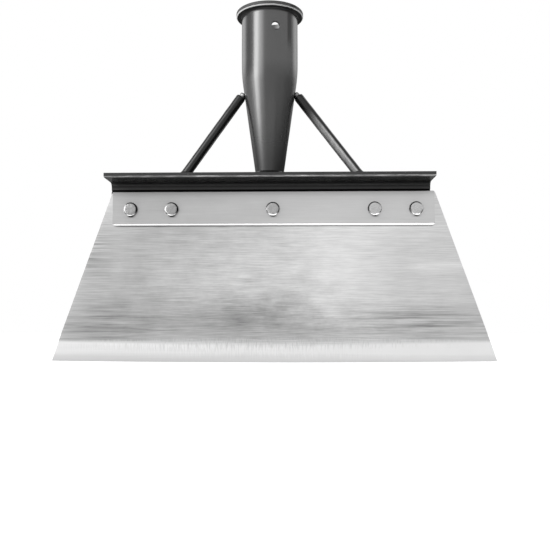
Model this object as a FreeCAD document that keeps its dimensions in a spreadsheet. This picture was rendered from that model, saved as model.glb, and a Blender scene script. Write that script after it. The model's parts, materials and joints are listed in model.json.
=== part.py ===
import FreeCAD, Part
import math
import os
from types import SimpleNamespace

import Sketcher
from FreeCAD import Rotation, Vector

# Head of a wide-blade draw hoe, without its wooden handle. A trapezoid spring-steel blade is riveted
# between a clamp strip and the hanging leg of a steel angle bar. A tapered socket stands welded on the
# bar's flat leg, and a round brace rod on each side ties the socket to the bar.
#
# Frame: origin at the centre of the socket's mouth, +Z up the socket's axis and out of the mouth,
# +X along the blade to the right, -Y towards the side that carries the clamp strip and rivet heads.

SIZES = {
    # blade
    "edge_width": 300,
    "blade_top_width": 220,
    "blade_height": 115,
    "blade_thickness": 1.5,
    "blade_corner_radius": 1.5,
    "edge_crown": 1,
    "edge_land": 0.4,
    "bevel_height": 14,
    # angle bar
    "bar_length": 218.5,
    "bar_depth": 25.5,
    "bar_drop": 32.6,
    "bar_thickness": 3,
    "bar_root_radius": 3.5,
    "bar_toe_radius": 1.5,
    "bar_heel_radius": 1,
    # clamp strip
    "strip_length": 219,
    "strip_height": 23.2,
    "strip_thickness": 2,
    "strip_corner_radius": 1.2,
    "strip_edge_chamfer": 0.4,
    # how the blade and strip hang on the bar: below its flat leg, and a little off centre
    "plate_gap": 6.4,
    "plate_shift": 1.9,
    # rivets, in a row under the plates' top edge
    "rivet_drop": 12.2,
    "rivet_inner_offset": 69,
    "rivet_outer_offset": 97,
    "rivet_head_radius": 4.7,
    "rivet_head_height": 2,
    "rivet_head_rounding": 1.1,
    "rivet_shank_radius": 2.5,
    "rivet_tail_radius": 4.2,
    "rivet_tail_height": 1.8,
    "rivet_tail_rounding": 1.2,
    # handle socket
    "socket_length": 111.6,
    "tube_radius": 19,
    "tube_wall": 1.5,
    "rim_radius": 22.8,
    "rim_thickness": 3.1,
    "rim_top_rounding": 0.6,
    "rim_low_rounding": 1,
    "rim_fillet": 1.4,
    "taper_start": 43,
    "taper_blend": 100,
    "base_radius": 9.3,
    "screw_hole_radius": 2.6,
    "screw_hole_drop": 15.2,
    "screw_hole_turn": 14,
    # braces: a rod leans in from its foot on the bar to the socket's side, and the two differ a little
    "brace_radius": 3.25,
    "brace_left_foot": 57.6,
    "brace_left_lean": 35.35,
    "brace_right_foot": 60.3,
    "brace_right_lean": 37.3,
    "brace_rise": 54.2,
    # weld beads
    "base_weld_leg": 2.6,
    "foot_weld_width": 3.4,
    "foot_weld_height": 4,
    "top_weld_radius": 2.9,
    "top_weld_offset": 18,
    "top_weld_drop": 57.6,
}
SHEET = "Sizes"
CLEARANCE = 20.0


class Size:
    """A length or angle: its number now, and the sheet expression that drives it."""

    def __init__(self, value, text):
        self.value = float(value)
        self.text = text

    def __add__(self, other):
        return Size(self.value + number(other), f"({self.text} + {words(other)})")

    def __sub__(self, other):
        return Size(self.value - number(other), f"({self.text} - {words(other)})")

    def __mul__(self, other):
        return Size(self.value * number(other), f"({self.text} * {words(other)})")

    def __truediv__(self, other):
        return Size(self.value / number(other), f"({self.text} / {words(other)})")

    def __neg__(self):
        return Size(-self.value, f"(-1 * {self.text})")

    def sin(self):
        return Size(math.sin(math.radians(self.value)), f"sin({self.text})")

    def cos(self):
        return Size(math.cos(math.radians(self.value)), f"cos({self.text})")


def number(item):
    return item.value if isinstance(item, Size) else float(item)


def words(item):
    return item.text if isinstance(item, Size) else str(item)


doc = FreeCAD.newDocument("draw_hoe_head")
sheet = doc.addObject("Spreadsheet::Sheet", SHEET)
for row, (alias, amount) in enumerate(SIZES.items(), start=1):
    sheet.set(f"A{row}", alias)
    sheet.set(f"B{row}", str(amount))
    sheet.setAlias(f"B{row}", alias)
doc.recompute()
size = SimpleNamespace(**{alias: Size(amount, f"{SHEET}.{alias}") for alias, amount in SIZES.items()})

# Places that several sub-parts share
bar_top = -size.socket_length
leg_front = size.bar_depth / 2 - size.bar_thickness
blade_front = leg_front - size.blade_thickness
strip_front = blade_front - size.strip_thickness
plate_top = bar_top - size.bar_thickness - size.plate_gap
rivet_row = plate_top - size.rivet_drop
rivet_stack = size.strip_thickness + size.blade_thickness + size.bar_thickness
rivet_offsets = {
    "rivet_far_left": -size.rivet_outer_offset,
    "rivet_left": -size.rivet_inner_offset,
    "rivet_centre": size.rivet_inner_offset * 0,
    "rivet_right": size.rivet_inner_offset * 1,
    "rivet_far_right": size.rivet_outer_offset * 1,
}
brace_stances = {
    -1: (size.brace_left_foot, size.brace_left_lean),
    1: (size.brace_right_foot, size.brace_right_lean),
}


# ---------- helpers ----------

def bind(item, prop, amount):
    """Drive one property from the sheet."""
    item.setExpression(prop, words(amount))


def place(item, along_x=0, along_y=0, along_z=0):
    """Drive an item's position from the sheet."""
    for axis, amount in (("x", along_x), ("y", along_y), ("z", along_z)):
        bind(item, f"Placement.Base.{axis}", amount)


def new_body(name):
    body = doc.addObject("PartDesign::Body", name)
    body.Label = name
    return body


def new_sketch(body, role, name):
    """A sketch on one of the body's own origin planes."""
    plane = next(item for item in body.Origin.OriginFeatures if item.Role == role)
    sketch = body.newObject("Sketcher::SketchObject", f"{body.Name}_{name}")
    sketch.AttachmentSupport = [(plane, "")]
    sketch.MapMode = "FlatFace"
    return sketch


def fix_point(sketch, geometry, end, point):
    """Hold a sketch point at its distances from the sketch's axes."""
    for kind, axis, amount in (("DistanceX", -2, point[0]), ("DistanceY", -1, point[1])):
        if number(amount) == 0:
            sketch.addConstraint(Sketcher.Constraint("PointOnObject", geometry, end, axis))
            continue
        rule = Sketcher.Constraint(kind, -1, 1, geometry, end, number(amount))
        bind(sketch, f"Constraints[{sketch.addConstraint(rule)}]", amount)


def outline(sketch, points, crowned=None):
    """A closed outline through the points. crowned maps an edge's number to its arc's (radius, bulge)."""
    crowned = crowned or {}
    corners = [Vector(number(along), number(up), 0) for along, up in points]
    count = len(corners)
    for edge, start in enumerate(corners):
        finish = corners[(edge + 1) % count]
        if edge in crowned:
            middle = (start + finish) / 2 + crowned[edge][1]
            sketch.addGeometry(Part.Arc(start, middle, finish), False)
        else:
            sketch.addGeometry(Part.LineSegment(start, finish), False)
    for edge, point in enumerate(points):
        sketch.addConstraint(Sketcher.Constraint("Coincident", edge, 2, (edge + 1) % count, 1))
        fix_point(sketch, edge, 1, point)
    for edge, (radius, _) in crowned.items():
        rule = sketch.addConstraint(Sketcher.Constraint("Radius", edge, number(radius)))
        bind(sketch, f"Constraints[{rule}]", radius)


def round_corner(sketch, corner, radius):
    """Round an outline's corner, which stays as the point that the outline is measured to."""
    sketch.fillet(corner, 1, number(radius), True, True)
    arcs = [k for k, item in enumerate(sketch.Geometry) if isinstance(item, Part.ArcOfCircle)]
    rule = sketch.addConstraint(Sketcher.Constraint("Radius", arcs[-1], number(radius)))
    bind(sketch, f"Constraints[{rule}]", radius)


def circles(sketch, radius, centres):
    for centre in centres:
        middle = Vector(number(centre[0]), number(centre[1]), 0)
        circle = sketch.addGeometry(Part.Circle(middle, Vector(0, 0, 1), number(radius)), False)
        rule = sketch.addConstraint(Sketcher.Constraint("Radius", circle, number(radius)))
        bind(sketch, f"Constraints[{rule}]", radius)
        fix_point(sketch, circle, 3, centre)


def pad(body, sketch, length, backwards=False, both_ways=False):
    feature = body.newObject("PartDesign::Pad", f"{body.Name}_pad")
    feature.Profile = sketch
    feature.Reversed = backwards
    feature.Midplane = both_ways
    bind(feature, "Length", length)
    doc.recompute()
    return feature


def pocket_all(body, sketch, name, backwards=False, both_ways=False):
    """Cut a sketch through the whole body, and make sure that it did cut."""
    before = body.Shape.Volume
    feature = body.newObject("PartDesign::Pocket", f"{body.Name}_{name}")
    feature.Profile = sketch
    feature.Type = "ThroughAll"
    feature.Reversed = backwards
    feature.Midplane = both_ways
    doc.recompute()
    if not body.Shape.Volume < before:
        raise RuntimeError(f"{feature.Name} cut nothing")
    return feature


def revolve(body, sketch):
    feature = body.newObject("PartDesign::Revolution", f"{body.Name}_revolution")
    feature.Profile = sketch
    feature.ReferenceAxis = (sketch, ["V_Axis"])
    feature.Angle = 360
    doc.recompute()
    return feature


def drill_rivet_holes(body, depth, shift=0):
    """Holes for the row of rivets, this far below and beside the origin of an upright plate's body."""
    holes = new_sketch(body, "XZ_Plane", "rivet_circles")
    centres = [(offset + shift, -depth) for offset in rivet_offsets.values()]
    circles(holes, size.rivet_shank_radius, centres)
    pocket_all(body, holes, "rivet_holes")


# ---------- sub-parts ----------

def make_handle_socket():
    """Swaged tube with a rolled rim: straight at the mouth, then tapered to the bar."""
    body = new_body("handle_socket")
    profile = new_sketch(body, "XZ_Plane", "profile")
    bore = size.tube_radius - size.tube_wall
    points = [
        (bore, 0),
        (size.rim_radius, 0),
        (size.rim_radius, -size.rim_thickness),
        (size.tube_radius, -size.rim_thickness),
        (size.tube_radius, -size.taper_start),
        (size.base_radius, bar_top),
        (size.base_radius - size.tube_wall, bar_top),
        (bore, -size.taper_start),
    ]
    outline(profile, points)
    round_corner(profile, 1, size.rim_top_rounding)
    round_corner(profile, 2, size.rim_low_rounding)
    round_corner(profile, 3, size.rim_fillet)
    round_corner(profile, 4, size.taper_blend)
    round_corner(profile, 7, size.taper_blend - size.tube_wall)
    revolve(body, profile)
    hole = new_sketch(body, "XZ_Plane", "screw_circle")
    circles(hole, size.screw_hole_radius, [(0, -size.screw_hole_drop)])
    pocket_all(body, hole, "screw_hole", backwards=True)
    bind(body, "Placement.Rotation.Angle", size.screw_hole_turn)
    return body


def make_angle_bar():
    """Rolled steel angle: a flat leg under the socket and a hanging leg behind the blade."""
    body = new_body("angle_bar")
    section = new_sketch(body, "YZ_Plane", "section")
    back = size.bar_depth / 2
    points = [
        (-back, 0),
        (back, 0),
        (back, -size.bar_drop),
        (leg_front, -size.bar_drop),
        (leg_front, -size.bar_thickness),
        (-back, -size.bar_thickness),
    ]
    outline(section, points)
    round_corner(section, 1, size.bar_heel_radius)
    round_corner(section, 3, size.bar_toe_radius)
    round_corner(section, 4, size.bar_root_radius)
    round_corner(section, 5, size.bar_toe_radius)
    pad(body, section, size.bar_length, both_ways=True)
    drill_rivet_holes(body, bar_top - rivet_row, size.plate_shift)
    place(body, along_z=bar_top)
    return body


def make_blade():
    """Trapezoid blade with a slightly crowned cutting edge, ground on its front face."""
    body = new_body("blade")
    shape = new_sketch(body, "XZ_Plane", "outline")
    half_edge = size.edge_width / 2
    half_top = size.blade_top_width / 2
    crown_radius = half_edge * half_edge / (size.edge_crown * 2) + size.edge_crown / 2
    points = [
        (-half_edge, -size.blade_height),
        (half_edge, -size.blade_height),
        (half_top, 0),
        (-half_top, 0),
    ]
    outline(shape, points, {0: (crown_radius, Vector(0, -size.edge_crown.value, 0))})
    round_corner(shape, 2, size.blade_corner_radius)
    round_corner(shape, 3, size.blade_corner_radius)
    pad(body, shape, size.blade_thickness, backwards=True)
    drill_rivet_holes(body, size.rivet_drop)

    bevel = new_sketch(body, "YZ_Plane", "bevel")
    slope = (size.blade_thickness - size.edge_land) / size.bevel_height
    overrun = size.edge_crown * 2
    low = -size.blade_height - overrun
    wedge = [
        (0, size.bevel_height - size.blade_height),
        (slope * (size.bevel_height + overrun), low),
        (0, low),
    ]
    outline(bevel, wedge)
    pocket_all(body, bevel, "bevel_cut", both_ways=True)
    place(body, size.plate_shift, blade_front, plate_top)
    return body


def make_clamp_strip():
    """Flat strip over the blade's top edge, with broken front edges."""
    body = new_body("clamp_strip")
    shape = new_sketch(body, "XZ_Plane", "outline")
    half = size.strip_length / 2
    points = [
        (-half, 0),
        (half, 0),
        (half, -size.strip_height),
        (-half, -size.strip_height),
    ]
    outline(shape, points)
    for corner in range(len(points)):
        round_corner(shape, corner, size.strip_corner_radius)
    plate = pad(body, shape, size.strip_thickness, backwards=True)
    front = next(
        f"Face{k}" for k, face in enumerate(plate.Shape.Faces, start=1)
        if face.normalAt(0, 0).y < -0.99
    )
    broken = body.newObject("PartDesign::Chamfer", "clamp_strip_edges")
    broken.Base = (plate, [front])
    bind(broken, "Size", size.strip_edge_chamfer)
    doc.recompute()
    drill_rivet_holes(body, size.rivet_drop)
    place(body, size.plate_shift, strip_front, plate_top)
    return body


def make_rivet(name, offset):
    """Round-edged head on the strip, shank through the stack, formed tail behind the bar."""
    body = new_body(name)
    profile = new_sketch(body, "XY_Plane", "profile")
    tail_end = rivet_stack + size.rivet_tail_height
    points = [
        (0, -size.rivet_head_height),
        (size.rivet_head_radius, -size.rivet_head_height),
        (size.rivet_head_radius, 0),
        (size.rivet_shank_radius, 0),
        (size.rivet_shank_radius, rivet_stack),
        (size.rivet_tail_radius, rivet_stack),
        (size.rivet_tail_radius, tail_end),
        (0, tail_end),
    ]
    outline(profile, points)
    round_corner(profile, 1, size.rivet_head_rounding)
    round_corner(profile, 6, size.rivet_tail_rounding)
    revolve(body, profile)
    place(body, offset + size.plate_shift, strip_front, rivet_row)
    return body


def make_socket_weld():
    """Fillet bead around the socket's foot."""
    body = new_body("socket_weld")
    profile = new_sketch(body, "XZ_Plane", "profile")
    leg = size.base_weld_leg
    taper = (size.tube_radius - size.base_radius) / (size.socket_length - size.taper_start)
    points = [
        (size.base_radius, 0),
        (size.base_radius + leg, 0),
        (size.base_radius + leg * 0.7, leg * 0.6),
        (size.base_radius + taper * leg, leg),
    ]
    outline(profile, points)
    round_corner(profile, 2, leg)
    revolve(body, profile)
    place(body, along_z=bar_top)
    return body


def cut(name, base, *tools):
    """Take the tools away from the base, one after another."""
    result = base
    for step, tool in enumerate(tools, start=1):
        remainder = doc.addObject("Part::Cut", f"{name}_cut_{step}")
        remainder.Base = result
        remainder.Tool = tool
        result = remainder
    result.Label = name
    return result


def socket_taper(name):
    """The tapered stretch of the socket's outside, as a solid to cut with."""
    cone = doc.addObject("Part::Cone", f"{name}_socket_taper")
    bind(cone, "Radius1", size.base_radius)
    bind(cone, "Radius2", size.tube_radius)
    bind(cone, "Height", size.socket_length - size.taper_start)
    place(cone, along_z=bar_top)
    return cone


def bar_below(name):
    """A block that fills the space under the bar's top face."""
    block = doc.addObject("Part::Box", f"{name}_bar_block")
    bind(block, "Length", size.bar_length)
    bind(block, "Width", size.bar_depth)
    block.Height = CLEARANCE
    place(block, -size.bar_length / 2, -size.bar_depth / 2, bar_top - CLEARANCE)
    return block


def along_brace(item, side, distance):
    """Set an item's axis on a brace's centre line, this far up from the brace's foot."""
    foot, lean = brace_stances[side]
    item.Placement.Rotation = Rotation(Vector(0, -side, 0), lean.value)
    bind(item, "Placement.Rotation.Angle", lean)
    reach = foot - lean.sin() * distance
    place(item, reach * side, 0, bar_top + lean.cos() * distance)


def brace_rod(name, side):
    """Round bar on the brace's centre line, run on past its foot to be trimmed by the bar."""
    below = size.brace_radius * 2
    lean = brace_stances[side][1]
    rod = doc.addObject("Part::Cylinder", f"{name}_rod")
    bind(rod, "Radius", size.brace_radius)
    bind(rod, "Height", size.brace_rise / lean.cos() + below)
    along_brace(rod, side, -below)
    return rod


def make_brace(name, side):
    """Rod trimmed flat on the bar, and coped where its square-cut end meets the socket."""
    return cut(name, brace_rod(name, side), bar_below(name), socket_taper(name))


def make_foot_weld(name, side):
    """Tapered collar of weld round a brace's foot."""
    wide = size.brace_radius + size.foot_weld_width
    collar = doc.addObject("Part::Cone", f"{name}_collar")
    bind(collar, "Radius1", wide)
    bind(collar, "Radius2", size.brace_radius + size.foot_weld_width / 10)
    bind(collar, "Height", wide + size.foot_weld_height)
    along_brace(collar, side, -wide)
    return cut(name, collar, bar_below(name), brace_rod(name, side))


def make_top_weld(name, side):
    """Bead in the corner between a brace's square-cut end and the socket."""
    bead = doc.addObject("Part::Sphere", f"{name}_bead")
    bind(bead, "Radius", size.top_weld_radius)
    place(bead, size.top_weld_offset * side, 0, -size.top_weld_drop)
    return cut(name, bead, brace_rod(name, side), socket_taper(name))


# ---------- assembly ----------

def make_all():
    parts = [make_handle_socket(), make_angle_bar(), make_blade(), make_clamp_strip()]
    parts += [make_rivet(name, offset) for name, offset in rivet_offsets.items()]
    parts.append(make_socket_weld())
    for word, side in (("left", -1), ("right", 1)):
        parts.append(make_brace(f"brace_{word}", side))
        parts.append(make_foot_weld(f"brace_foot_weld_{word}", side))
        parts.append(make_top_weld(f"brace_top_weld_{word}", side))
    doc.recompute()
    return parts


def check(parts):
    """Stop if any object failed, or any sub-part isn't one sound solid."""
    for item in doc.Objects:
        if {"Invalid", "Error"} & set(item.State):
            raise RuntimeError(f"{item.Name} failed: {item.State}")
    for part in parts:
        shape = part.Shape
        if shape.isNull() or not shape.isValid() or len(shape.Solids) != 1:
            raise RuntimeError(f"{part.Label} isn't one sound solid")


def export(parts):
    os.makedirs("parts", exist_ok=True)
    for part in parts:
        part.Shape.exportStep(f"parts/{part.Label}.step")
        box = part.Shape.BoundBox
        corners = [round(value, 2) for value in (box.XMin, box.YMin, box.ZMin, box.XMax, box.YMax, box.ZMax)]
        print(part.Label, "volume", round(part.Shape.Volume, 1), "box", corners)


sub_parts = make_all()
check(sub_parts)
export(sub_parts)
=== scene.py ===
import json
import math

import bmesh
import bpy
from mathutils import Matrix, Vector, noise


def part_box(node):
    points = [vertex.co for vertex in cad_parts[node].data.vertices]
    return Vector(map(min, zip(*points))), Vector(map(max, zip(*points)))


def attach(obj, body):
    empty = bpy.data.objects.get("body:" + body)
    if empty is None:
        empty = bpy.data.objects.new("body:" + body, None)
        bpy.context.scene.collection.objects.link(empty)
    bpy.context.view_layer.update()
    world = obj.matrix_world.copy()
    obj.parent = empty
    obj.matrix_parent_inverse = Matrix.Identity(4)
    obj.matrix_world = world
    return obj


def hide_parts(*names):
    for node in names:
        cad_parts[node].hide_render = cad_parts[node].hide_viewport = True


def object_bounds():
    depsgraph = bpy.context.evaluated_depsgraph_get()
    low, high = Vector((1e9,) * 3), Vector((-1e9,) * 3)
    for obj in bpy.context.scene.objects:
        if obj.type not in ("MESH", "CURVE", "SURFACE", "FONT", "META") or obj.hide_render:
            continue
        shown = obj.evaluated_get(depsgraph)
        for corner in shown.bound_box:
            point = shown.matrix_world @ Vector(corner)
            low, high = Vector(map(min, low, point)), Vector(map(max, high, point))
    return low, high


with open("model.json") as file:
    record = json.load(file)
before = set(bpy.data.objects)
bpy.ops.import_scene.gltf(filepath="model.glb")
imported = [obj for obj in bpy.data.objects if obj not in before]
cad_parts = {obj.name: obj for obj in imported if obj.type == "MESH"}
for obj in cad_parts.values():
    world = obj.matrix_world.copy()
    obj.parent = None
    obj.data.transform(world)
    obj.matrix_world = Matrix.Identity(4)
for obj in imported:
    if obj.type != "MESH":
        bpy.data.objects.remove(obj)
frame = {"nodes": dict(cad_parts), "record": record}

# Head of a wide-blade draw hoe. Every CAD node is replaced by a finished mesh of the same size in the
# same place: soft edges, hammered rivets, rippled weld beads, a drilled and dimpled socket. Meshes are
# built in millimetres and scaled to metres when they become pieces.

MM = 0.001
cad_low, cad_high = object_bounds()
mounts = {mount["name"]: mount for mount in frame["record"]["mounts"]}


def box_mm(node):
    """The lowest and highest corners of a CAD node, in millimetres."""
    low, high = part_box(node)
    return low / MM, high / MM


# ---------- places that several pieces share, in millimetres ----------

BAR_THICKNESS = 3.0
TUBE_WALL = 1.5
TAPER_START = 43.0
BASE_RADIUS = 9.3
RIM_THICKNESS = 3.1
RIM_EDGE = 0.65
BRACE_RADIUS = 3.25
BRACE_RISE = 54.2
BRACE_STANCES = {-1: (57.6, math.radians(35.35)), 1: (60.3, math.radians(37.3))}
BLADE_TOP_WIDTH = 220.0
BEVEL_HEIGHT = 14.0

bar_low, bar_high = box_mm("angle_bar")
blade_low, blade_high = box_mm("blade")
strip_low, strip_high = box_mm("clamp_strip")
rivets = sorted(name for name in frame["nodes"] if name.startswith("rivet_"))
bar_top = bar_high.z
bore_radius = mounts["handle_socket"]["dims"]["r_mm"]
tube_radius = bore_radius + TUBE_WALL
rim_radius = box_mm("handle_socket")[1].x


# ---------- node helpers ----------

class Graph:
    """Short names for building a node tree."""

    def __init__(self, tree):
        self.tree = tree

    def add(self, kind, **settings):
        node = self.tree.nodes.new(kind)
        for key, value in settings.items():
            setattr(node, key, value)
        return node

    def link(self, source, target):
        self.tree.links.new(source, target)

    def feed(self, node, slot, value):
        """Set or link one input."""
        socket = node.inputs[slot]
        if isinstance(value, bpy.types.NodeSocket):
            self.link(value, socket)
        else:
            socket.default_value = value

    def math(self, operation, a, b=0.0, c=0.0):
        node = self.add("ShaderNodeMath", operation=operation)
        for slot, value in enumerate((a, b, c)):
            self.feed(node, slot, value)
        return node.outputs[0]

    def plus(self, a, b):
        return self.math("ADD", a, b)

    def times(self, a, b):
        return self.math("MULTIPLY", a, b)

    def swing(self, value, reach, middle=0.5):
        """A value that varies round middle, turned into one that varies round zero."""
        return self.times(self.math("SUBTRACT", value, middle), reach)

    def ramp(self, value, stops):
        """A smooth curve through (place, level) stops."""
        node = self.add("ShaderNodeValToRGB")
        node.color_ramp.interpolation = "EASE"
        points = node.color_ramp.elements
        while len(points) < len(stops):
            points.new(0.5)
        for point, (place, level) in zip(points, stops):
            point.position = place
            point.color = (level, level, level, 1.0)
        self.feed(node, 0, value)
        return node.outputs[0]

    def step(self, value, low, high, out_low=0.0, out_high=1.0):
        """A smooth step from out_low at low to out_high at high."""
        node = self.add("ShaderNodeMapRange", interpolation_type="SMOOTHSTEP")
        for slot, amount in enumerate((value, low, high, out_low, out_high)):
            self.feed(node, slot, amount)
        return node.outputs[0]

    def axes(self, vector):
        split = self.add("ShaderNodeSeparateXYZ")
        self.link(vector, split.inputs[0])
        return split.outputs[0], split.outputs[1], split.outputs[2]

    def vector(self, x, y, z):
        node = self.add("ShaderNodeCombineXYZ")
        for slot, value in enumerate((x, y, z)):
            self.feed(node, slot, value)
        return node.outputs[0]

    def place_mm(self):
        """Where the surface is, in the object's own millimetres."""
        scale = self.add("ShaderNodeVectorMath", operation="SCALE")
        self.link(self.add("ShaderNodeTexCoord").outputs["Object"], scale.inputs[0])
        scale.inputs["Scale"].default_value = 1 / MM
        return scale.outputs[0]

    def noise(self, place, grain, detail=3.0, rough=0.5, seed=0.0):
        """Noise from 0 to 1. grain is its usual size along X, Y and Z, in millimetres."""
        shift = self.add("ShaderNodeVectorMath", operation="MULTIPLY_ADD")
        self.link(place, shift.inputs[0])
        shift.inputs[1].default_value = tuple(1 / size for size in grain)
        shift.inputs[2].default_value = (seed, seed * 0.7, seed * 1.3)
        texture = self.add("ShaderNodeTexNoise")
        self.link(shift.outputs[0], texture.inputs["Vector"])
        texture.inputs["Scale"].default_value = 1.0
        texture.inputs["Detail"].default_value = detail
        texture.inputs["Roughness"].default_value = rough
        return texture.outputs[0]

    def spot(self, x, z, centre, reach):
        """1 at the centre of an oval spot on an upright plate, falling to 0 past its reach."""
        across = self.math("POWER", self.math("ABSOLUTE", self.swing(x, 1 / reach[0], centre[0])), 2.0)
        up = self.math("POWER", self.math("ABSOLUTE", self.swing(z, 1 / reach[1], centre[1])), 2.0)
        return self.math("EXPONENT", self.times(self.plus(across, up), -1.0))

    def grey(self, value):
        node = self.add("ShaderNodeCombineColor")
        for slot in range(3):
            self.feed(node, slot, value)
        return node.outputs[0]

    def bump(self, height, depth_mm, under=None):
        node = self.add("ShaderNodeBump")
        node.inputs["Distance"].default_value = depth_mm * MM
        node.inputs["Strength"].default_value = 1.0
        self.link(height, node.inputs["Height"])
        if under is not None:
            self.link(under, node.inputs["Normal"])
        return node.outputs[0]


def new_material(name):
    material = bpy.data.materials.new(name)
    material.use_nodes = True
    shader = material.node_tree.nodes["Principled BSDF"]
    return material, Graph(material.node_tree), shader


# ---------- studio ----------

# The lights, all far away: brightness, then how it changes with azimuth and with elevation, each as
# (degrees, level) stops. Azimuth 0 is in front of the hoe, and grows to the right. Where the stops don't
# reach the end of the range, the light fades to nothing there.
LIGHTS = [
    # front walls, dim at the sides and towards the ground
    (2.8, [(-122, 0.0), (-104, 0.2), (-88, 0.2), (-66, 0.5), (0, 0.5), (50, 0.5), (72, 0.48), (100, 0.34),
           (122, 0.0)],
     [(-30, 0.015), (-14, 0.056), (-4, 0.22), (5, 0.57), (12, 0.72), (20, 1.0), (32, 0.8), (60, 0.3),
      (90, 0.26)]),
    # back walls, which line both sides of the socket
    (2.2, [(-180, 0.14), (-170, 0.2), (-160, 0.33), (-150, 0.52), (-136, 0.9), (-122, 1.0), (-104, 0.0),
           (104, 0.0), (122, 1.0), (136, 0.9), (150, 0.52), (160, 0.33), (170, 0.2), (180, 0.14)],
     [(-24, 0.0), (-14, 0.3), (-7, 0.25), (-2, 0.04), (9, 0.06), (13, 0.55), (18, 1.0), (90, 1.0)]),
    # tall softbox, front left
    (9.3, [(-70, 0.0), (-62, 0.9), (-51, 1.0), (-39, 0.4), (-16, 0.0)],
     [(-5, 0.0), (-1, 0.14), (3, 0.68), (8, 1.0), (28, 1.0), (48, 0.1)]),
    # shorter softbox beside it, which bends the highlight outwards down the socket's taper
    (4.4, [(-150, 0.0), (-135, 0.12), (-113, 0.15), (-96, 0.22), (-84, 0.4), (-74, 0.9), (-64, 1.0),
           (-54, 0.5), (-46, 0.0)],
     [(-4, 0.0), (0, 0.4), (3, 0.85), (5, 1.0), (9, 0.8), (13, 0.0)]),
    # low fill under the softboxes
    (0.7, [(-66, 0.0), (-52, 1.0), (-38, 0.0)],
     [(-34, 0.0), (-24, 1.0), (-14, 1.0), (-8, 0.0)]),
    # white card in front of the blade's edge
    (1.29, [(-40, 0.0), (-22, 1.0), (22, 1.0), (38, 0.0)],
     [(-32, 0.0), (-20, 0.8), (-8, 1.0), (3, 0.0)]),
    # bright tray below, which draws a line along every lower edge
    (4.6, [(-110, 0.0), (-85, 1.0), (85, 1.0), (110, 0.0)],
     [(-76, 0.0), (-68, 1.0), (-49, 1.0), (-40, 0.0)]),
    # low reflectors on both sides behind, for the blade's back and the flat leg's underside
    (1.2, [(-165, 0.0), (-150, 1.0), (-112, 1.0), (-100, 0.0), (100, 0.0), (112, 1.0), (150, 1.0),
           (165, 0.0)],
     [(-44, 0.3), (-30, 1.0), (-14, 1.0), (-8, 0.0)]),
    # faint low light straight behind
    (0.35, [(-180, 1.0), (-150, 0.0), (150, 0.0), (180, 1.0)],
     [(-22, 0.0), (-15, 1.0), (-8, 1.0), (-5, 0.0)]),
    # black flag, low on the right
    (-0.38, [(50, 0.0), (86, 1.0), (130, 1.0), (148, 0.0)],
     [(-20, 0.0), (-10, 1.0), (5, 1.0), (13, 0.0)]),
]


def whole(stops, end):
    """The same stops, with dark ones added where they don't reach an end of the range."""
    before = [] if stops[0][0] == -end else [(-end, 0.0)]
    after = [] if stops[-1][0] == end else [(end, 0.0)]
    return before + stops + after


def make_world():
    """The eye sees a white backdrop. Surfaces see the lights, whose sum is cut off at zero."""
    world = bpy.data.worlds.new("studio")
    bpy.context.scene.world = world
    world.use_nodes = True
    world.node_tree.nodes.clear()
    g = Graph(world.node_tree)
    x, y, z = g.axes(g.add("ShaderNodeTexCoord").outputs["Generated"])
    azimuth = g.math("ARCTAN2", x, g.times(y, -1.0))
    turn = g.math("MULTIPLY_ADD", azimuth, 0.5 / math.pi, 0.5)
    height = g.math("MULTIPLY_ADD", z, 0.5, 0.5)
    level = 0.0
    for brightness, around, upward in LIGHTS:
        across = g.ramp(turn, [(0.5 + degrees / 360, share) for degrees, share in whole(around, 180)])
        up = g.ramp(height, [(0.5 + math.sin(math.radians(degrees)) / 2, share)
                             for degrees, share in whole(upward, 90)])
        level = g.plus(level, g.times(g.times(across, up), brightness))
    level = g.math("MAXIMUM", level, 0.0)
    seen = g.add("ShaderNodeLightPath").outputs["Is Camera Ray"]
    lit = g.add("ShaderNodeBackground")
    g.link(level, lit.inputs["Strength"])
    backdrop = g.add("ShaderNodeBackground")
    backdrop.inputs["Color"].default_value = (1, 1, 1, 1)
    mix = g.add("ShaderNodeMixShader")
    g.link(seen, mix.inputs[0])
    g.link(lit.outputs[0], mix.inputs[1])
    g.link(backdrop.outputs[0], mix.inputs[2])
    g.link(mix.outputs[0], g.add("ShaderNodeOutputWorld").inputs[0])


# The camera, fitted to the photo: metres, millimetres of focal length, and degrees up and to the left
CAMERA_RIGHT = 0.01595
CAMERA_DISTANCE = 0.48821
CAMERA_ABOVE_EDGE = 0.02755
CAMERA_LENS = 48.09
CAMERA_PITCH = 4.201
CAMERA_YAW = 1.452


def make_camera():
    """Low, just above the blade's edge and a little to the right, looking slightly up."""
    data = bpy.data.cameras.new("camera")
    data.sensor_width = 36.0
    data.lens = CAMERA_LENS
    camera = bpy.data.objects.new("camera", data)
    bpy.context.collection.objects.link(camera)
    camera.location = (CAMERA_RIGHT, -CAMERA_DISTANCE, cad_low.z + CAMERA_ABOVE_EDGE)
    camera.rotation_euler = (math.radians(90 + CAMERA_PITCH), 0, math.radians(CAMERA_YAW))
    bpy.context.scene.camera = camera


def make_floor():
    """A plain white floor just below the blade, which the shiny surfaces don't reflect."""
    reach = 3.0
    drop = 0.03
    z = cad_low.z - drop
    mesh = bpy.data.meshes.new("floor")
    mesh.from_pydata([(-reach, -reach, z), (reach, -reach, z), (reach, reach, z), (-reach, reach, z)],
                     [], [(0, 1, 2, 3)])
    floor = bpy.data.objects.new("floor", mesh)
    bpy.context.collection.objects.link(floor)
    material, _, shader = new_material("floor")
    shader.inputs["Base Color"].default_value = (0.92, 0.92, 0.92, 1)
    shader.inputs["Roughness"].default_value = 0.9
    shader.inputs["Emission Color"].default_value = (1, 1, 1, 1)
    shader.inputs["Emission Strength"].default_value = 0.4
    mesh.materials.append(material)
    floor.visible_glossy = False


# ---------- materials ----------

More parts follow.
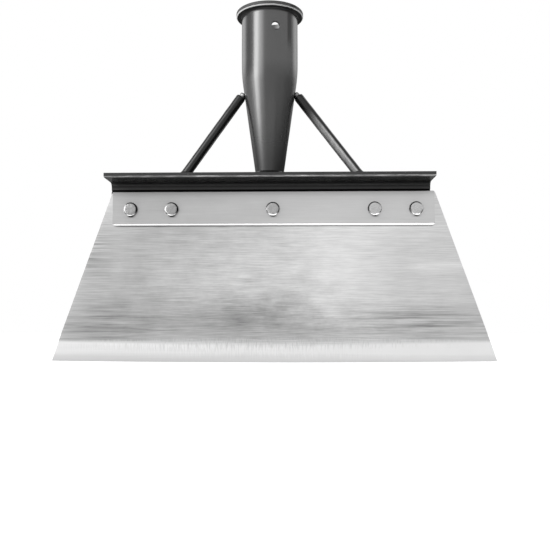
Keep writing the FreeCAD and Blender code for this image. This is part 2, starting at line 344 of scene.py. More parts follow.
# How much of the colour and shine painted shade takes away
PAINTED_SHADE_LOSS = 0.85
BARE_STEEL = 0.92
# Where the socket's painted dark stripe runs, round from the front
SHADE_STRIPE_TURN = math.radians(46)


def enamel(name, tone, specular, roughness, painted_shade=None, painted_highlight=None, dull=None):
    """Sprayed black enamel: orange peel, faint runs along the length, dust and rubbed spots.
    Of the three optional masks, each taken from a place, the first gives painted shade, the second bare steel
    painted in as a highlight, and the third chalky paint."""
    material, g, shader = new_material(name)
    place = g.place_mm()
    cloud = g.noise(place, (22, 22, 30), detail=2)
    runs = g.noise(place, (1.6, 1.6, 26), detail=2, seed=3.0)
    peel = g.noise(place, (1.4, 1.4, 1.4), detail=1.5, seed=5.0)
    grit = g.noise(place, (0.45, 0.45, 0.45), detail=2, seed=9.0)
    rubbed = g.step(g.noise(place, (3.2, 3.2, 3.2), detail=5, rough=0.65, seed=12.0), 0.66, 0.74)
    shade = g.plus(g.swing(cloud, 0.5), g.swing(runs, 0.3))
    colour = g.times(g.plus(shade, 1.0), tone)
    colour = g.plus(colour, g.times(rubbed, tone * 0.7))
    gloss = g.plus(g.swing(cloud, 0.06), g.swing(grit, 0.08))
    gloss = g.plus(g.plus(gloss, g.times(rubbed, 0.12)), roughness)
    # Painted shade: darkens the colour and the shine where the mask asks
    if painted_shade:
        shade_amount = painted_shade(g, place)
        kept = g.math("MULTIPLY_ADD", shade_amount, -PAINTED_SHADE_LOSS, 1.0)
        colour = g.times(colour, kept)
        gloss = g.plus(gloss, g.times(shade_amount, 0.3))
        g.link(g.times(kept, specular), shader.inputs["Specular IOR Level"])
    else:
        shader.inputs["Specular IOR Level"].default_value = specular
    if dull:
        gloss = g.plus(gloss, g.times(dull(g, place), 0.5))
    # Painted highlight: bare steel painted in where the mask asks for a highlight
    if painted_highlight:
        bare = painted_highlight(g, place)
        colour = g.plus(g.times(colour, g.math("SUBTRACT", 1.0, bare)), g.times(bare, BARE_STEEL))
        gloss = g.plus(gloss, g.times(bare, 0.22))
        g.link(bare, shader.inputs["Metallic"])
    g.link(g.grey(colour), shader.inputs["Base Color"])
    g.link(gloss, shader.inputs["Roughness"])
    relief = g.bump(peel, 0.010)
    relief = g.bump(runs, 0.010, relief)
    g.link(g.bump(grit, 0.002, relief), shader.inputs["Normal"])
    return material


def from_axis(g, place):
    """Distance from the socket's axis."""
    x, y, _ = g.axes(place)
    return g.math("SQRT", g.plus(g.times(x, x), g.times(y, y)))


def socket_shade(g, place):
    """Painted shade on the socket: under the rolled rim, down a dark, dull stripe on the right below it, and
    darker towards the foot.
    """
    x, y, z = g.axes(place)
    below = g.step(z, -RIM_THICKNESS - 0.1, -RIM_THICKNESS + 0.15, 1.0, 0.0)
    outside = g.step(from_axis(g, place), tube_radius + 0.1, tube_radius + 0.9)
    shaded = g.times(g.step(z, -RIM_THICKNESS - 2.4, -RIM_THICKNESS - 0.6), below)
    turn = g.math("ARCTAN2", x, g.times(y, -1.0))
    aside = g.math("ABSOLUTE", g.times(g.math("SUBTRACT", turn, SHADE_STRIPE_TURN), tube_radius))
    # Painted shade: a dark stripe down the right side below the rim, and darker towards the foot
    run = g.times(g.step(aside, 0.8, 3.0, 0.55, 0.0), g.step(z, -32.0, -20.0))
    foot = g.step(z, -112.0, -70.0, 0.5, 0.0)
    stripe_and_foot = g.math("MAXIMUM", run, foot)
    return g.math("MAXIMUM", g.math("MAXIMUM", g.times(below, outside), g.times(shaded, 0.85)), stripe_and_foot)


def rim_face(g, place):
    """The rim's outer face, which the rolling left chalky."""
    return g.step(from_axis(g, place), tube_radius + 1.5, tube_radius + 2.4)


def rim_highlight_line(g, place):
    """A painted highlight: a line of bare steel along the rim's lower outer edge."""
    z = g.axes(place)[2]
    band = g.times(g.step(z, -RIM_THICKNESS - 0.02, -RIM_THICKNESS + 0.06),
                   g.step(z, -RIM_THICKNESS + RIM_EDGE - 0.1, -RIM_THICKNESS + RIM_EDGE + 0.1, 1.0, 0.0))
    return g.times(band, g.step(from_axis(g, place), rim_radius - 0.8, rim_radius - 0.55))


def bar_root_shade(g, place):
    """Painted shade in the inside corner between the bar's two legs, and a painted shadow line just above the
    blade.
    """
    y, z = g.axes(place)[1:]
    back = g.math("SUBTRACT", y, bar_high.y - BAR_THICKNESS)
    down = g.math("SUBTRACT", z, bar_top - BAR_THICKNESS)
    away = g.math("SQRT", g.plus(g.times(back, back), g.times(down, down)))
    corner = g.step(away, 2.4, 4.4, 0.6, 0.0)
    gap = g.math("ABSOLUTE", g.math("SUBTRACT", z, blade_high.z + 1.0))
    inside = g.times(g.step(back, 1.4, 1.9, 1.0, 0.0), g.step(down, 0.3, 1.0, 1.0, 0.0))
    return g.times(g.math("MAXIMUM", corner, g.step(gap, 0.6, 1.1, 1.0, 0.0)), inside)


def bar_toe_highlight(g, place):
    """A painted highlight: bare steel along the flat leg's lower front edge, broken by nicks."""
    y, z = g.axes(place)[1:]
    under = bar_top - BAR_THICKNESS
    line = g.times(g.step(y, bar_low.y + 0.9, bar_low.y + 1.4, 1.0, 0.0),
                   g.times(g.step(z, under - 0.1, under + 0.1),
                           g.step(z, under + 0.75, under + 1.0, 1.0, 0.0)))
    nicks = g.step(g.noise(place, (14, 2, 1), detail=4, rough=0.7, seed=51.0), 0.38, 0.70, 0.07, 0.42)
    return g.times(line, nicks)


def weld_glint(node, side, strength):
    """A painted highlight: a spot of bare steel on a brace's top weld."""
    low, high = box_mm(node)
    centre = ((low.x + high.x) / 2 - side * 0.2, bar_top + BRACE_RISE + 0.9)

    def mask(g, place):
        x, _, z = g.axes(place)
        return g.times(g.spot(x, z, centre, (1.1, 0.9)), strength)
    return mask


def brace_highlight_stripe(g, place):
    """A painted highlight: a long stripe of bare steel up the front of the right brace, fading towards its
    top.
    """
    x, y, z = g.axes(place)
    foot, lean = BRACE_STANCES[1]
    up = g.math("SUBTRACT", z, bar_top)
    aside = g.math("SUBTRACT", x, g.math("MULTIPLY_ADD", up, -math.tan(lean), foot))
    near = g.plus(g.step(g.math("ABSOLUTE", g.plus(aside, 1.3)), 0.9, 3.0, 0.55, 0.0),
                  g.step(g.math("ABSOLUTE", aside), 0.3, 1.1, 0.45, 0.0))
    faded = g.step(up, 26.0, 46.0, 1.0, 0.0)
    front = g.step(y, -1.5, -1.0, 1.0, 0.0)
    patchy = g.step(g.noise(place, (2.5, 2.5, 7), detail=3, seed=55.0), 0.25, 0.6, 0.3, 0.5)
    return g.times(g.times(near, faded), g.times(front, patchy))


def steel_base(name, roughness, anisotropy):
    """Bare steel, with an upright tangent for its anisotropy."""
    material, g, shader = new_material(name)
    shader.inputs["Metallic"].default_value = 1.0
    shader.inputs["Anisotropic"].default_value = anisotropy
    shader.inputs["Roughness"].default_value = roughness
    g.link(g.vector(0.0, 0.0, 1.0), shader.inputs["Tangent"])
    return material, g, shader


# Marks on the blade's face: centre from the middle of its top edge, reach, and how much lighter.
# They are partly the steel's own blotches and partly painted light and shade, darker on the left and low down
# and lighter on the right.
# The clouds' outlines wander with the mottling, and the streaks are broken into lines along the grain.
BLADE_CLOUDS = [
    ((-16, -88), (54, 16), -0.38),
    ((-118, -96), (50, 12), -0.14),
    ((-112, -72), (50, 36), -0.29),
    ((-78, -28), (50, 20), -0.20),
    ((46, -54), (32, 36), 0.30),
    ((62, -22), (52, 14), 0.14),
    ((-10, -52), (40, 22), 0.06),
    ((114, -52), (30, 38), 0.09),
    ((40, -94), (30, 8), -0.10),
]
BLADE_STREAKS = [
    ((-128, -38), (17, 16), -0.50),
    ((-118, -90), (52, 12), -0.28),
    ((104, -90), (46, 11), -0.60),
    ((118, -51), (24, 3), 0.22),
]
BLADE_TONE = 0.70
GROUND_TONE = 0.90
GROUND_LIFT = 1.08
STRIP_TONE = 0.63


def blade_steel():
    """Rolled spring steel with a horizontal satin grain, and a brighter ground band along the edge; painted
    light and shade across the face, and a painted shadow under the strip.
    """
    material, g, shader = steel_base("blade_steel", 0.36, 0.5)
    place = g.place_mm()
    x, y, z = g.axes(place)
    hair = g.noise(place, (26, 2, 0.42), detail=3, rough=0.6)
    strokes = g.noise(place, (12, 2, 0.65), detail=3, rough=0.6, seed=4.0)
    bands = g.noise(place, (70, 4, 3.2), detail=3, rough=0.6, seed=7.0)
    cloud = g.noise(place, (16, 16, 11), detail=4, rough=0.62, seed=11.0)
    wander = g.swing(cloud, 22.0)
    middle_x = (blade_low.x + blade_high.x) / 2
    from_middle = g.math("SUBTRACT", x, middle_x)
    from_top = g.math("SUBTRACT", z, blade_high.z)
    drift_x = g.plus(from_middle, wander)
    drift_z = g.plus(from_top, g.times(wander, 0.4))
    worked = g.spot(from_middle, from_top, (5, -75), (95, 60))
    stroked = g.times(g.swing(strokes, 0.72), g.math("MULTIPLY_ADD", worked, 0.8, 0.2))
    shade = g.plus(g.swing(hair, 0.60), stroked)
    mottle = g.times(g.swing(cloud, 0.40), g.math("MULTIPLY_ADD", worked, 0.6, 0.4))
    shade = g.plus(shade, g.plus(g.swing(bands, 0.30), mottle))
    for centre, reach, amount in BLADE_CLOUDS:
        shade = g.plus(shade, g.times(g.spot(drift_x, drift_z, centre, reach), amount))
    streaky = g.step(g.noise(place, (60, 3, 1.3), detail=3, rough=0.6, seed=21.0), 0.30, 0.72)
    for centre, reach, amount in BLADE_STREAKS:
        mark = g.spot(from_middle, from_top, centre, reach)
        shade = g.plus(shade, g.times(g.times(mark, streaky), amount))
    # A painted shadow along the blade just under the strip
    strip_shadow = g.step(z, strip_low.z - 1.3, strip_low.z - 0.5)
    strip_shadow = g.times(strip_shadow, g.step(x, strip_low.x, strip_low.x + 6.0))
    strip_shadow = g.times(strip_shadow, g.step(x, strip_high.x - 2.0, strip_high.x, 1.0, 0.0))
    shade = g.plus(shade, g.times(strip_shadow, -0.45))
    face = g.times(g.plus(shade, 1.0), BLADE_TONE)

    # The ground band: sharp at the ends, softer and broken by upright grinding strokes towards the
    # middle, and brightest half way down
    grinding = g.noise(place, (0.8, 2, 9), detail=3, rough=0.65, seed=15.0)
    ragged = g.spot(from_middle, from_top, (10, -100), (85, 400))
    line = blade_low.z + BEVEL_HEIGHT + 0.9
    above = g.math("SUBTRACT", z, line)
    above = g.plus(above, g.times(g.swing(grinding, 14.0), ragged))
    softened = g.math("DIVIDE", above, g.math("MULTIPLY_ADD", ragged, 2.8, 1.0))
    ground = g.step(softened, -1.7, 0.6, 1.0, 0.0)
    ground = g.times(ground, g.step(y, blade_high.y - 0.3, blade_high.y - 0.15, 1.0, 0.0))
    band = g.plus(g.plus(g.swing(bands, 0.10), g.swing(hair, 0.08)), GROUND_TONE)
    near_line = g.spot(from_middle, above, (0, -2.5), (82, 4.0))
    band = g.plus(band, g.times(g.swing(grinding, 2.4), near_line))
    # Painted shade low on the left of the ground band and painted light on its right
    low_left = g.spot(from_middle, above, (-150, -15), (90, 9))
    right = g.spot(from_middle, above, (130, -6), (90, 14))
    band = g.plus(band, g.plus(g.step(above, -14.0, -2.0, -0.05, 0.03), g.times(low_left, -0.12)))
    band = g.plus(band, g.times(right, 0.07))
    height = g.math("DIVIDE", g.math("SUBTRACT", z, blade_low.z), BEVEL_HEIGHT)
    band = g.times(band, g.ramp(height, [(0.0, 0.84), (0.25, 0.93), (0.5, 1.0), (0.8, 0.95), (1.0, 0.92)]))
    band = g.times(band, GROUND_LIFT)
    mix = g.plus(g.times(face, g.math("SUBTRACT", 1.0, ground)), g.times(band, ground))
    g.link(g.grey(mix), shader.inputs["Base Color"])
    rough = g.plus(g.plus(g.swing(strokes, 0.12), g.swing(cloud, 0.08)), 0.37)
    rough = g.plus(rough, g.times(ground, -0.03))
    g.link(rough, shader.inputs["Roughness"])
    relief = g.bump(hair, 0.006)
    g.link(g.bump(g.times(g.times(grinding, ragged), ground), 0.01, relief), shader.inputs["Normal"])
    return material


def strip_steel():
    """Satin steel strip: the same grain, closer and more even than the blade's, with painted light and shade:
    darker to the left and along the top under the bar, a painted shadow under each rivet and painted shade
    round it.
    """
    material, g, shader = steel_base("strip_steel", 0.36, 0.4)
    place = g.place_mm()
    hair = g.noise(place, (22, 2, 0.5), detail=3, rough=0.6, seed=31.0)
    bands = g.noise(place, (60, 3, 3.0), detail=3, rough=0.55, seed=33.0)
    cloud = g.noise(place, (26, 16, 12), detail=3, rough=0.6, seed=37.0)
    shade = g.plus(g.swing(hair, 0.14), g.swing(bands, 0.12))
    shade = g.plus(shade, g.swing(cloud, 0.14))
    x, _, z = g.axes(place)
    # Painted light and shade: darker towards the left end, lighter to the right
    shade = g.plus(shade, g.step(x, strip_low.x, 60.0, -0.20, 0.10))
    # Painted shade along the top, under the bar
    shade = g.plus(shade, g.step(z, strip_high.z - 5.0, strip_high.z, 0.0, -0.22))
    for rivet in rivets:
        low, high = box_mm(rivet)
        middle = (low + high) / 2
        # A painted shadow under each rivet's head, and painted shade round it
        shade = g.plus(shade, g.times(g.spot(x, z, (middle.x + 0.3, low.z - 0.1), (1.9, 0.75)), -0.95))
        shade = g.plus(shade, g.times(g.spot(x, z, (middle.x, middle.z), (5.6, 5.6)), -0.16))
    tone = g.times(g.math("MAXIMUM", g.plus(shade, 1.0), 0.03), STRIP_TONE)
    g.link(g.grey(tone), shader.inputs["Base Color"])
    g.link(g.plus(g.plus(g.swing(bands, 0.10), g.swing(cloud, 0.08)), 0.36), shader.inputs["Roughness"])
    g.link(g.bump(hair, 0.003), shader.inputs["Normal"])
    return material


def rivet_steel(node):
    """Hammered steel: mottled, with painted shade on the upper inner shoulder and a painted highlight on the
    lower outer one.
    """
    material, g, shader = steel_base(f"{node}_steel", 0.3, 0.0)
    place = g.place_mm()
    x, _, z = g.axes(place)
    low, high = box_mm(node)
    middle = (low + high) / 2
    left = node.endswith("_left")
    right = node.endswith("_right")
    inner = 0.62 if left else -0.62 if right else 0.0
    across = g.math("SUBTRACT", x, middle.x)
    up = g.math("SUBTRACT", z, middle.z)
    away = g.math("MAXIMUM", g.math("SQRT", g.plus(g.times(across, across), g.times(up, up))), 0.01)
    facing = g.math("DIVIDE", g.plus(g.times(across, inner), g.times(up, math.sqrt(1 - inner * inner))), away)
    shoulder = g.step(away, 3.5, 4.1)
    shoulder_shade = g.times(shoulder, g.step(facing, -0.25, 0.55))
    shoulder_highlight = g.times(shoulder, g.step(facing, -0.85, -0.45, 1.0, 0.0))
    pits = g.noise(place, (0.7, 0.7, 0.7), detail=3, rough=0.6, seed=41.0)
    cloud = g.noise(place, (3, 3, 3), detail=2, seed=43.0)
    shade = g.plus(g.swing(pits, 0.9), g.swing(cloud, 0.2))
    shade = g.plus(shade, g.plus(g.times(shoulder_shade, -0.95), g.times(shoulder_highlight, 1.1)))
    # Painted light and shade: the left rivets darker, the right ones lighter, the middle one between
    tone = 0.36 if left else 0.58 if right else 0.44
    g.link(g.grey(g.times(g.math("MAXIMUM", g.plus(shade, 1.0), 0.04), tone)), shader.inputs["Base Color"])
    g.link(g.plus(g.plus(g.swing(pits, -0.2), g.times(shoulder_shade, 0.3)), 0.36), shader.inputs["Roughness"])
    g.link(g.bump(pits, 0.03), shader.inputs["Normal"])
    return material


# ---------- mesh helpers ----------

def rounded(corners, steps=5):
    """Points round a closed outline whose corners are (along, up, radius)."""
    points = []
    for k, (along, up, radius) in enumerate(corners):
        here = Vector((along, up))
        before = Vector(corners[k - 1][:2]) - here
        after = Vector(corners[(k + 1) % len(corners)][:2]) - here
        if radius == 0:
            points.append(here)
            continue
        before.normalize()
        after.normalize()
        half = before.angle(after) / 2
        centre = here + (before + after).normalized() * (radius / math.sin(half))
        arm = here + before * (radius / math.tan(half)) - centre
        turn = math.pi - 2 * half
        if before.cross(after) > 0:
            turn = -turn
        for step in range(steps + 1):
            points.append(centre + Matrix.Rotation(turn * step / steps, 2) @ arm)
    return points


def divided(points, longest):
    """The same closed outline, with its long runs cut into shorter ones."""
    result = []
    for k, point in enumerate(points):
        run = points[(k + 1) % len(points)] - point
        pieces = max(1, math.ceil(run.length / longest))
        result += [point + run * (step / pieces) for step in range(pieces)]
    return result


def spread(low, high, longest):
    """Evenly spaced values from low to high."""
    count = max(1, math.ceil((high - low) / longest))
    return [low + (high - low) * step / count for step in range(count + 1)]


def skin(rings, looped=False):
    """A closed surface through rings of points. Without looped, the first and last rings are capped."""
    bm = bmesh.new()
    rows = [[bm.verts.new(point) for point in ring] for ring in rings]
    for k in range(len(rows) if looped else len(rows) - 1):
        here, there = rows[k], rows[(k + 1) % len(rows)]
        for n in range(len(here)):
            m = (n + 1) % len(here)
            bm.faces.new((here[n], here[m], there[m], there[n]))
    if not looped:
        bm.faces.new(rows[0][::-1])
        bm.faces.new(rows[-1])
    bmesh.ops.recalc_face_normals(bm, faces=bm.faces)
    return bm


def soften(bm, width, segments=3, sharper=40, only=None):
    """Round every edge that turns by more than this many degrees."""
    edges = [edge for edge in bm.edges
             if edge.is_manifold and edge.calc_face_angle(0) > math.radians(sharper)
             and (only is None or only(edge))]
    bmesh.ops.bevel(bm, geom=edges, offset=width, segments=segments, profile=0.5,
                    affect="EDGES", clamp_overlap=True)


def lump(point, grain, reach, seed=0.0):
    """Smooth seeded noise at a point, from about -reach to reach."""
    return noise.noise(point / grain + Vector((seed, seed * 1.7, -seed))) * reach


def add_piece(node, bm, material):
    """Turn a mesh in millimetres into the piece that stands for a CAD node."""
    bmesh.ops.recalc_face_normals(bm, faces=bm.faces)
    bm.transform(Matrix.Scale(MM, 4))
    mesh = bpy.data.meshes.new(f"finished_{node}")
    bm.to_mesh(mesh)
    bm.free()
    mesh.shade_smooth()
    mesh.materials.append(material)
    piece = bpy.data.objects.new(f"finished_{node}", mesh)
    bpy.context.collection.objects.link(piece)
    evened = piece.modifiers.new("even_normals", "WEIGHTED_NORMAL")
    evened.mode = "FACE_AREA"
    evened.weight = 60
    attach(piece, "root")
    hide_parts(node)
    return piece


# ---------- the socket ----------

SOCKET_SEGMENTS = 168
DIMPLE_DEPTH = 0.16
DIMPLE_REACH = 3.6


def screw_hole():
    """Where the hole's axis meets the middle of the tube's wall, and which way it faces."""
    mount = mounts["handle_screw_hole"]
    return Vector(mount["pos_m"]) / MM, Vector(mount["axis"]).normalized(), mount["dims"]["r_mm"]


def socket_mesh():
    """Swaged tube with a rolled rim, pressed in round its screw hole, seam-welded down the back."""
    inner_base = BASE_RADIUS - TUBE_WALL
    profile = divided(rounded([
        (bore_radius, 0, 0.5),
        (rim_radius, 0, 0.7),
        (rim_radius, -RIM_THICKNESS + RIM_EDGE, 0.15),
        (rim_radius - 0.5, -RIM_THICKNESS, 0.15),
        (tube_radius, -RIM_THICKNESS, 1.4),
        (tube_radius, -TAPER_START, 100.0),
        (BASE_RADIUS, bar_top, 0),
        (inner_base, bar_top, 0),
        (bore_radius, -TAPER_START, 98.5),
    ]), 1.3)
    centre, facing, _ = screw_hole()
    rings = []
    for k in range(SOCKET_SEGMENTS):
        turn = 2 * math.pi * k / SOCKET_SEGMENTS
        out = Vector((math.cos(turn), math.sin(turn), 0))
        ring = []
        for point in profile:
            place = out * point.x + Vector((0, 0, point.y))
            offset = place - centre
            offset -= facing * offset.dot(facing)
            pressed = 0.0
            if place.dot(facing) > 0:
                pressed = DIMPLE_DEPTH * math.exp(-(offset.length / DIMPLE_REACH) ** 2)
            place -= out * pressed
            across_seam = (turn - math.pi / 2) * point.x
            if abs(across_seam) < 2.5 and -bar_top > -point.y > 4 and point.x > BASE_RADIUS - 0.2:
                bead = math.exp(-(across_seam / 0.9) ** 2) * (0.22 + lump(place, 1.1, 0.12))
                place += out * bead
            place += out * lump(place, 14.0, 0.05)
            ring.append(place)
        rings.append(ring)
    return skin(rings, looped=True)


def hole_cutter():
    """A pin whose outer end flares, so that the hole gets a rounded lip."""
    centre, facing, radius = screw_hole()
    side = facing.cross(Vector((0, 0, 1))).normalized()
    up = side.cross(facing)
    stations = [(-4.0, radius), (-0.3, radius), (0.2, radius + 0.02), (0.5, radius + 0.1),
                (0.7, radius + 0.25), (4.0, radius + 2.0)]
    rings = []
    for along, reach in stations:
        ring = []
        for k in range(48):
            turn = 2 * math.pi * k / 48
            out = side * (math.cos(turn) * reach) + up * (math.sin(turn) * reach)
            ring.append(centre + facing * along + out)
        rings.append(ring)
    return skin(rings)


def make_socket(material):
    """The socket, with its screw hole cut out of the finished mesh."""
    piece = add_piece("handle_socket", socket_mesh(), material)
    mesh = bpy.data.meshes.new("hole_cutter")
    cutter_bm = hole_cutter()
    cutter_bm.transform(Matrix.Scale(MM, 4))
    cutter_bm.to_mesh(mesh)
    cutter_bm.free()
    cutter = bpy.data.objects.new("hole_cutter", mesh)
    bpy.context.collection.objects.link(cutter)
    drilled = piece.modifiers.new("drilled", "BOOLEAN")
    drilled.operation = "DIFFERENCE"
    drilled.object = cutter
    piece.modifiers.move(1, 0)
    bpy.context.view_layer.update()
    shape = bpy.data.meshes.new_from_object(piece.evaluated_get(bpy.context.evaluated_depsgraph_get()))
    piece.modifiers.clear()
    piece.data = shape
    bpy.data.objects.remove(cutter)
    return piece


# ---------- the angle bar ----------

def make_bar(material):
    """Rolled angle: square sheared ends with softened corners, and slightly uneven faces."""
    front, back = bar_low.y, bar_high.y
    leg_front = back - BAR_THICKNESS
    under = bar_top - BAR_THICKNESS
    section = divided(rounded([
        (front, bar_top, 0.4),
        (back, bar_top, 1.0),
        (back, bar_low.z, 0.4),
        (leg_front, bar_low.z, 1.5),
        (leg_front, blade_high.z - 0.2, 0),
        (leg_front + 1.0, blade_high.z + 1.0, 0.15),
        (leg_front, blade_high.z + 1.8, 0.2),
        (leg_front, under, 3.5),
        (front, under, 1.5),
    ]), 3.0)
    rings = []
    for x in spread(bar_low.x, bar_high.x, 3.0):
        rings.append([Vector((x, point.x + lump(Vector((x, point.x, point.y)), 34.0, 0.025), point.y))
                      for point in section])
    bm = skin(rings)
    soften(bm, 0.35, only=lambda edge: any(len(face.verts) > 4 for face in edge.link_faces))
    for vert in bm.verts:
        vert.co.x = min(max(vert.co.x, bar_low.x), bar_high.x)
    return add_piece("angle_bar", bm, material)


# ---------- blade and strip ----------

def make_blade(material):
    """Trapezoid plate, faintly wavy, with a crowned edge that is ground from the front."""
    middle = (blade_low.x + blade_high.x) / 2
    half_edge = (blade_high.x - blade_low.x) / 2
    half_top = BLADE_TOP_WIDTH / 2
    crown = 1.0
    land = 0.4
    shoulder = blade_low.z + crown + BEVEL_HEIGHT
    height = blade_high.z - (blade_low.z + crown)
    rings = []
    for across in spread(-1.0, 1.0, 0.028):
        edge_z = blade_low.z + crown * across * across
        rows = [(blade_high.z - (blade_high.z - shoulder) * k / 26, 0.0) for k in range(27)]
        rows += [(shoulder - (shoulder - edge_z) * k / 5, k / 5) for k in range(1, 6)]
        ring = []
        for z, ground in rows:
            ring.append((z, blade_low.y + (blade_high.y - blade_low.y - land) * ground))
        ring += [(z, blade_high.y) for z, ground in reversed(rows)]
        points = []
        for z, y in ring:
            share = min(1.0, (blade_high.z - z) / height)
            x = middle + across * (half_top + (half_edge - half_top) * share)
            hidden = min(1.0, max(0.0, (strip_low.z - z) / 12))
            wave = lump(Vector((x * 0.4, 0, z)), 22.0, 0.10) * hidden
            points.append(Vector((x, y + wave, z)))
        rings.append(points)
    bm = skin(rings)
    corners = [edge for edge in bm.edges
               if all(abs(vert.co.z - blade_high.z) < 0.01 and abs(vert.co.x - middle) > half_top - 0.01
                      for vert in edge.verts)]
    bmesh.ops.bevel(bm, geom=corners, offset=1.5, segments=5, profile=0.5, affect="EDGES")
    soften(bm, 0.05, segments=1)
    return add_piece("blade", bm, material)


def make_strip(material):
    """Flat strip whose front edges are broken, widest along the bottom."""
    corner, side_share, top_share = 1.2, 0.12, 0.35
    middle = (strip_low + strip_high) / 2
    half = (strip_high - strip_low) / 2

    def ring(y, inset):
        wide, radius = half.x - inset * side_share, max(corner - inset, 0.25)
        top, foot = half.z - inset * top_share, inset - half.z
        corners = [(-wide, top, radius), (wide, top, radius), (wide, foot, radius), (-wide, foot, radius)]
        outline = divided(rounded(corners), 4.0)
        return [Vector((middle.x + point.x, y, middle.z + point.y)) for point in outline]

    back_edge = [(0.15, 0.0), (0.05, 0.05), (0.0, 0.15)]
    front_edge = [(0.0, 0.75), (0.06, 0.66), (0.86, 0.12), (1.0, 0.03), (1.25, 0.0)]
    rings = [ring(strip_high.y - depth, inset) for inset, depth in back_edge]
    rings += [ring(strip_low.y + depth, inset) for inset, depth in front_edge]
    counts = [len(item) for item in rings]
    if len(set(counts)) > 1:
        raise RuntimeError(f"the strip's rings differ: {counts}")
    return add_piece("clamp_strip", skin(rings), material)


# ---------- rivets ----------

def make_rivet(node, material, seed):
    """Low hammered head with a rolled shoulder, shank through the stack, and a formed tail."""
    low, high = box_mm(node)
    middle = (low + high) / 2
    head, tail = (high.x - low.x) / 2, 4.2
    shank = 2.5
    seat, back = strip_low.y, bar_high.y
    profile = [(0.35, low.y), (1.3, low.y), (2.3, low.y), (3.2, low.y + 0.02), (3.7, low.y + 0.08)]
    profile += [(head - 0.95 + 0.95 * math.sin(a), low.y + 0.1 + 1.2 * (1 - math.cos(a)))
                for a in (math.radians(15 * k) for k in range(1, 7))]
    profile += [(head - 0.1, seat), (shank, seat), (shank, back), (tail, back)]
    profile += [(tail - 1.2 + 1.2 * math.cos(a), high.y - 1.2 + 1.2 * math.sin(a))
                for a in (math.radians(18 * k) for k in range(0, 6))]
    profile += [(2.0, high.y), (1.0, high.y), (0.35, high.y)]
    rings = []
    for radius, y in profile:
        ring = []
        for k in range(44):
            turn = 2 * math.pi * k / 44
            place = Vector((middle.x + math.cos(turn) * radius, y, middle.z + math.sin(turn) * radius))
            if radius > shank + 0.1 or y in (low.y, high.y) or radius < shank:
                out = Vector((math.cos(turn), 0, math.sin(turn)))
                rim = min(1.0, radius / head)
                place += out * lump(out * 3, 1.6, 0.07, seed) * rim
                if y < low.y + 0.5 or y > high.y - 0.4:
                    inwards = 1 if y < seat else -1
                    place.y += inwards * abs(lump(place, 1.25, 0.2, seed))
            ring.append(place)
        rings.append(ring)
    return add_piece(node, skin(rings), material)


# ---------- braces and welds ----------

def brace_axis(side):
    """A brace's foot on the bar's top face, and the way it leans."""
    reach, lean = BRACE_STANCES[side]
    return Vector((side * reach, 0, bar_top)), Vector((-side * math.sin(lean), 0, math.cos(lean)))


def make_brace(node, side, material):
    """Round rod with a rounded top end, faintly bowed and uneven, sunk a little into the bar."""
    foot, way = brace_axis(side)
    across = Vector((0, 1, 0))
    other = way.cross(across)
    rounding = 1.3
    length = BRACE_RISE / way.z
    stations = [(along, BRACE_RADIUS) for along in spread(-6.0, length - rounding, 2.0)]
    stations += [(length - rounding + rounding * math.sin(a), BRACE_RADIUS - rounding * (1 - math.cos(a)))
                 for a in (math.radians(18 * k) for k in range(1, 6))]
    rings = []
    for along, radius in stations:
        ring = []
        for k in range(36):
            turn = 2 * math.pi * k / 36
            out = across * math.cos(turn) + other * math.sin(turn)
            place = foot + way * along + out * radius
            ring.append(place + out * lump(place, 5.0, 0.07, side))
        rings.append(ring)
    bm = skin(rings)
    sunk = bar_top - 1.2
    bmesh.ops.bisect_plane(bm, geom=bm.verts[:] + bm.edges[:] + bm.faces[:], plane_co=(0, 0, sunk),
                           plane_no=(0, 0, -1), clear_outer=True)
    bmesh.ops.holes_fill(bm, edges=[edge for edge in bm.edges if edge.is_boundary], sides=0)
    return add_piece(node, bm, material)


def bead_ring(node, material, centre_line, width, height, ripples, seed):
    """A rippled fillet bead. centre_line gives, for each turn, the inner point and the way outwards."""
    rings = []
    count = 120
    for k in range(count):
        turn = 2 * math.pi * k / count
        inner, out = centre_line(turn)
        scallop = 0.5 + 0.5 * abs(math.sin(turn * ripples / 2))
        swell = 0.82 + 0.18 * scallop + lump(out * 4, 1.3, 0.16, seed)
        wide, tall = width * swell, height * swell
        ring = [inner - out * 0.8 - Vector((0, 0, 0.6)), inner + out * wide - Vector((0, 0, 0.6))]
        for step in range(9):
            share = step / 8
            bulge = 0.22 * math.sin(math.pi * share)
            reach = wide * (1 - share) ** (1.0 + 0.5 * (1 - bulge))
            rise = tall * share ** 1.25 + bulge * 0.5
            ring.append(inner + out * reach + Vector((0, 0, rise)))
        ring.append(inner - out * 0.8 + Vector((0, 0, tall)))
        rings.append(ring)
    return add_piece(node, skin(rings, looped=True), material)


def make_socket_weld(material):
    def line(turn):
        out = Vector((math.cos(turn), math.sin(turn), 0))
        return out * (BASE_RADIUS - 0.1) + Vector((0, 0, bar_top)), out
    return bead_ring("socket_weld", material, line, 2.5, 2.6, 30, 5.0)


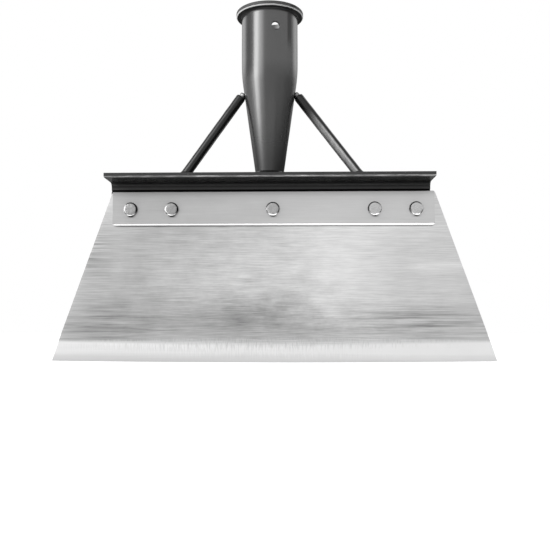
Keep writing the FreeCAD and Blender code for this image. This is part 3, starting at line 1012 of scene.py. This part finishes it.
def make_foot_weld(node, side, material):
    """A bead round the rod's slanting foot, longest on the side that leans away."""
    foot, way = brace_axis(side)
    long_radius = BRACE_RADIUS / way.z
    count = 96
    rings = []
    for k in range(count):
        turn = 2 * math.pi * k / count
        out = Vector((math.cos(turn), math.sin(turn), 0))
        inner = foot + Vector((math.cos(turn) * long_radius, math.sin(turn) * BRACE_RADIUS, 0))
        outwards = math.cos(turn) * side
        swell = 0.85 + 0.15 * abs(math.sin(turn * 9)) + lump(out * 4, 1.2, 0.18, side * 3.0)
        wide = (1.9 + 0.9 * outwards) * swell
        tall = (2.4 + 1.2 * outwards) * swell
        lean = Vector((way.x / way.z, 0, 1))
        ring = [inner - out * 0.8 - Vector((0, 0, 0.6)), inner + out * wide - Vector((0, 0, 0.6))]
        for step in range(8):
            share = step / 7
            ring.append(inner + out * (wide * (1 - share) ** 1.5) + lean * (tall * share ** 1.2))
        ring.append(inner - out * 0.8 + lean * tall)
        rings.append(ring)
    return add_piece(node, skin(rings, looped=True), material)


def make_top_weld(node, side, material):
    """A rounded bead that fills the corner between the rod's end and the socket, front to back."""
    low, high = box_mm(node)
    centre = (low + high) / 2
    reach = (high - low) / 2
    bm = bmesh.new()
    bmesh.ops.create_icosphere(bm, subdivisions=5, radius=1.0)
    for vert in bm.verts:
        way = vert.co.copy()
        size = 1.0 + lump(way, 0.8, 0.10, side * 5.0) + 0.03 * math.sin(way.y * 14)
        vert.co = centre + Vector((way.x * reach.x, way.y * reach.y, way.z * reach.z)) * size
    return add_piece(node, bm, material)


# ---------- build ----------

bpy.context.scene.view_settings.view_transform = "Standard"
make_world()
make_camera()
make_floor()

# One black enamel in different tones, as painted light and shade: the socket lightest, the braces and beads
# darkest
socket_paint = enamel("socket_enamel", tone=0.026, specular=1.0, roughness=0.2,
                      painted_shade=socket_shade, painted_highlight=rim_highlight_line, dull=rim_face)
bar_paint = enamel("bar_enamel", tone=0.021, specular=0.5, roughness=0.26, painted_shade=bar_root_shade, painted_highlight=bar_toe_highlight)
brace_paints = {-1: enamel("brace_left_enamel", tone=0.004, specular=0.5, roughness=0.24),
                1: enamel("brace_right_enamel", tone=0.004, specular=0.5, roughness=0.24, painted_highlight=brace_highlight_stripe)}
bead_paint = enamel("bead_enamel", tone=0.005, specular=0.6, roughness=0.14)
glint_strength = {-1: 0.9, 1: 0.45}

make_socket(socket_paint)
make_bar(bar_paint)
make_blade(blade_steel())
make_strip(strip_steel())
for number, rivet in enumerate(rivets):
    make_rivet(rivet, rivet_steel(rivet), number * 3.0)
make_socket_weld(bead_paint)
for word, side in (("left", -1), ("right", 1)):
    make_brace(f"brace_{word}", side, brace_paints[side])
    make_foot_weld(f"brace_foot_weld_{word}", side, bead_paint)
    top_weld = f"brace_top_weld_{word}"
    top_weld_paint = enamel(f"top_weld_{word}_enamel", tone=0.012, specular=0.6, roughness=0.14,
                            painted_highlight=weld_glint(top_weld, side, glint_strength[side]))
    make_top_weld(top_weld, side, top_weld_paint)
